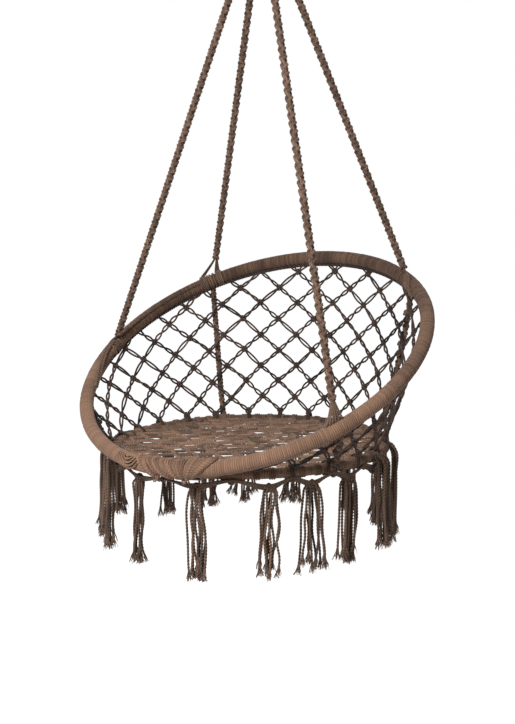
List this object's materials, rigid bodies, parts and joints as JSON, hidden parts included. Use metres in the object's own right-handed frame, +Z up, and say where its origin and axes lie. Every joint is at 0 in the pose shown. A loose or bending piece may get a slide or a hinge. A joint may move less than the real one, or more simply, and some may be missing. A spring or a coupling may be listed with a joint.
{
  "type": "hammock chair",
  "caption": "Hanging hammock chair: a tilted back hoop and a level seat hoop joined by knotted cord nets, hung by ropes from a steel ring, with a tassel fringe.",
  "frame": {"origin": "inside top of the steel hanging ring, where the hook bears", "axes": "+Z up along the plumb line, -Y the way the sitter faces, +X to the viewer's right from the front"},
  "size_m": [0.8373, 0.7096, 1.5795],
  "materials": {
    "wound_cord": "matt twisted cotton cord wound tight",
    "net_cord": "matt twisted cotton cord, knotted",
    "rope": "matt laid cotton rope",
    "fringe_cord": "matt twisted cotton cord, frayed ends",
    "ring_steel": "zinc plated",
    "tube_steel": "satin paint, hidden by the cord"
  },
  "bodies": {
    "hanger": {"hanging_ring": "ring_steel"},
    "frame": {"rope_head": "rope", "head_collar": "wound_cord", "rope_front_left": "rope", "rope_rear_left": "rope", "rope_front_right": "rope", "rope_rear_right": "rope", "back_sleeve_front_left": "wound_cord", "back_sleeve_rear_left": "wound_cord", "back_sleeve_front_right": "wound_cord", "back_sleeve_rear_right": "wound_cord", "lower_rope_front_left": "rope", "lower_rope_rear_left": "rope", "lower_rope_front_right": "rope", "lower_rope_rear_right": "rope", "back_hoop_tube": "tube_steel", "back_hoop_wrap": "wound_cord", "back_net": "net_cord", "front_lashing_1": "wound_cord", "front_lashing_2": "wound_cord", "front_lashing_3": "wound_cord", "front_lashing_4": "wound_cord"},
    "seat": {"seat_hoop_tube": "tube_steel", "seat_hoop_wrap": "wound_cord", "seat_net": "net_cord", "seat_sleeve_front_left": "wound_cord", "seat_sleeve_rear_left": "wound_cord", "seat_sleeve_front_right": "wound_cord", "seat_sleeve_rear_right": "wound_cord", "fringe_cord": "fringe_cord", "tassel_01": "fringe_cord", "tassel_02": "fringe_cord", "tassel_03": "fringe_cord", "tassel_04": "fringe_cord", "tassel_05": "fringe_cord", "tassel_06": "fringe_cord", "tassel_07": "fringe_cord", "tassel_08": "fringe_cord", "tassel_09": "fringe_cord", "tassel_10": "fringe_cord", "tassel_11": "fringe_cord", "tassel_12": "fringe_cord", "tassel_13": "fringe_cord", "tassel_14": "fringe_cord", "tassel_15": "fringe_cord", "tassel_16": "fringe_cord"}
  },
  "joints": [
    {"name": "chair_swing", "type": "hinge", "parent": "hanger", "child": "frame", "pos_m": [0, 0, -0.064], "axis": [1, 0, 0], "range_deg": [-30, 30]},
    {"name": "seat_fold", "type": "hinge", "parent": "frame", "child": "seat", "pos_m": [0, -0.31512, -1.33039], "axis": [1, 0, 0], "range_deg": [0, 28], "deforming": ["back_net", "lower_rope_front_left", "lower_rope_rear_left", "lower_rope_front_right", "lower_rope_rear_right", "front_lashing_1", "front_lashing_2", "front_lashing_3", "front_lashing_4"]}
  ]
}
